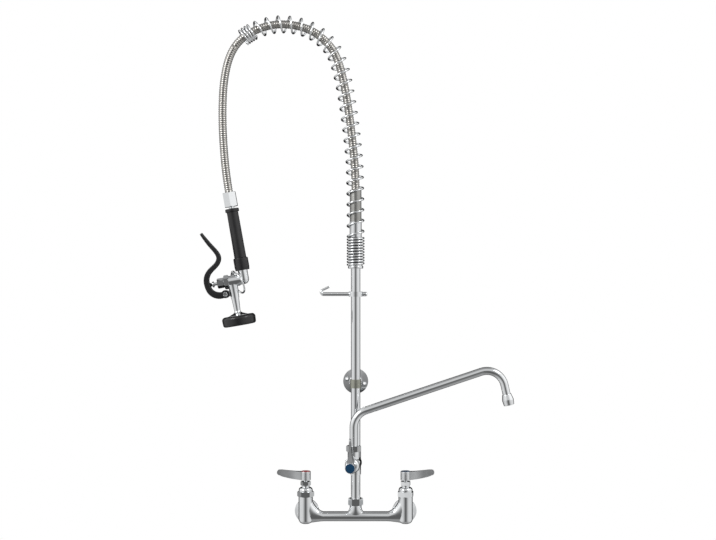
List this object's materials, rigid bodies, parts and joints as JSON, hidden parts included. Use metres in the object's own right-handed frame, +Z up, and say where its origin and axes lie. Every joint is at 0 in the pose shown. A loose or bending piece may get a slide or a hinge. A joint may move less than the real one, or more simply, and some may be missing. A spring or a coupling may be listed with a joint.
{
  "type": "commercial kitchen faucet",
  "caption": "Wall-mounted pre-rinse faucet: mixing body with lever valves, tall riser, sprung overhead hose with a squeeze spray valve, add-on swing spout and wall bracket.",
  "frame": {"origin": "on the finished wall, midway between the two supply inlets, at their height", "axes": "+X to the right as seen from the front, +Y into the wall, +Z up"},
  "size_m": [0.6347, 0.1669, 1.0439],
  "materials": {
    "chrome": "polished chrome plate",
    "buffed_casting": "buffed casting",
    "hose_steel": "ribbed steel",
    "satin_band": "satin band",
    "ferrule_steel": "satin crimped",
    "black_rubber": "matte black",
    "seal_rubber": "seal rubber",
    "ceramic": "lapped ceramic",
    "spring_steel": "drawn wire",
    "white_plastic": "moulded",
    "face_steel": "drilled plate",
    "index_red": "red cap",
    "index_blue": "blue cap"
  },
  "bodies": {
    "faucet_base": {"mixing_body": "chrome", "hot_inlet_flange": "chrome", "cold_inlet_flange": "chrome", "union_nuts": "chrome", "joint_washers": "seal_rubber", "hot_bonnet": "chrome", "cold_bonnet": "chrome", "addon_bonnet": "chrome", "packing_nuts": "chrome", "o_rings": "seal_rubber", "fixed_discs": "ceramic", "riser_nut": "chrome", "lower_riser": "chrome", "addon_body": "chrome", "upper_riser": "chrome", "finger_hook": "chrome", "hook_screw": "chrome", "bracket_flange": "chrome", "bracket_rod": "chrome", "riser_clamp": "satin_band", "clamp_screws": "chrome", "spring_hub": "chrome", "overhead_spring": "chrome", "overhead_hose": "hose_steel", "hose_nut": "chrome", "hose_ferrule": "ferrule_steel", "spout_nut": "chrome"},
    "hot_control": {"hot_handle": "buffed_casting", "hot_index": "index_red", "hot_spindle": "chrome", "hot_disc": "ceramic", "hot_screw": "chrome"},
    "cold_control": {"cold_handle": "buffed_casting", "cold_index": "index_blue", "cold_spindle": "chrome", "cold_disc": "ceramic", "cold_screw": "chrome"},
    "addon_control": {"addon_handle": "buffed_casting", "addon_index": "index_blue", "addon_spindle": "chrome", "addon_disc": "ceramic", "addon_screw": "chrome"},
    "swing_spout": {"spout": "chrome", "spout_tip": "chrome", "flow_straightener": "white_plastic"},
    "hose_drop": {"hanging_hose": "hose_steel", "swivel_nut": "chrome"},
    "spray_gun": {"grip": "black_rubber", "handle_tube": "chrome", "spray_body": "chrome", "spray_bonnet": "chrome", "return_spring": "spring_steel", "spray_head": "chrome", "spray_face": "face_steel", "bumper": "black_rubber"},
    "trigger": {"squeeze_lever": "black_rubber", "lever_screw": "chrome"},
    "valve_plunger": {"plunger": "chrome", "valve_washer": "seal_rubber"},
    "hold_loop": {"hold_ring": "chrome"}
  },
  "joints": [
    {"name": "hot_turn", "type": "hinge", "parent": "faucet_base", "child": "hot_control", "pos_m": [-0.1016, -0.0635, 0.04], "axis": [0, 0, 1], "range_deg": [0, 90]},
    {"name": "cold_turn", "type": "hinge", "parent": "faucet_base", "child": "cold_control", "pos_m": [0.1016, -0.0635, 0.04], "axis": [0, 0, 1], "range_deg": [-90, 0]},
    {"name": "addon_turn", "type": "hinge", "parent": "faucet_base", "child": "addon_control", "pos_m": [-0.0053, -0.11211, 0.112], "axis": [-0.1085, -0.9941, 0], "range_deg": [-90, 0]},
    {"name": "spout_swing", "type": "hinge", "parent": "faucet_base", "child": "swing_spout", "pos_m": [-0.00396, -0.09978, 0.145], "axis": [0, 0, 1], "range_deg": [-195, 15]},
    {"name": "hose_swing", "type": "hinge", "parent": "faucet_base", "child": "hose_drop", "pos_m": [-0.2459, -0.0635, 0.9548], "axis": [0, 1, 0], "range_deg": [-8, 20], "stiffness_Nm_per_rad": 2, "deforming": ["hanging_hose"]},
    {"name": "gun_swivel", "type": "hinge", "parent": "hose_drop", "child": "spray_gun", "pos_m": [-0.25268, -0.0635, 0.62971], "axis": [-0.1723, 0, 0.985], "continuous": true},
    {"name": "lever_squeeze", "type": "hinge", "parent": "spray_gun", "child": "trigger", "pos_m": [-0.26461, -0.0635, 0.45189], "axis": [0, 1, 0], "range_deg": [0, 14], "stiffness_Nm_per_rad": 0.6, "springref_deg": -28.65},
    {"name": "plunger_slide", "type": "slide", "parent": "spray_gun", "child": "valve_plunger", "axis": [0.985, 0, 0.1723], "range_m": [0, 0.0066], "deforming": ["return_spring"]},
    {"name": "ring_swing", "type": "hinge", "parent": "spray_gun", "child": "hold_loop", "pos_m": [-0.24958, -0.0635, 0.49594], "axis": [0.4715, -0.878, 0.0825], "range_deg": [-6, 20]}
  ],
  "couplings": [
    {"joint": "plunger_slide", "follows": "lever_squeeze", "m_per_rad": 0.0267}
  ]
}
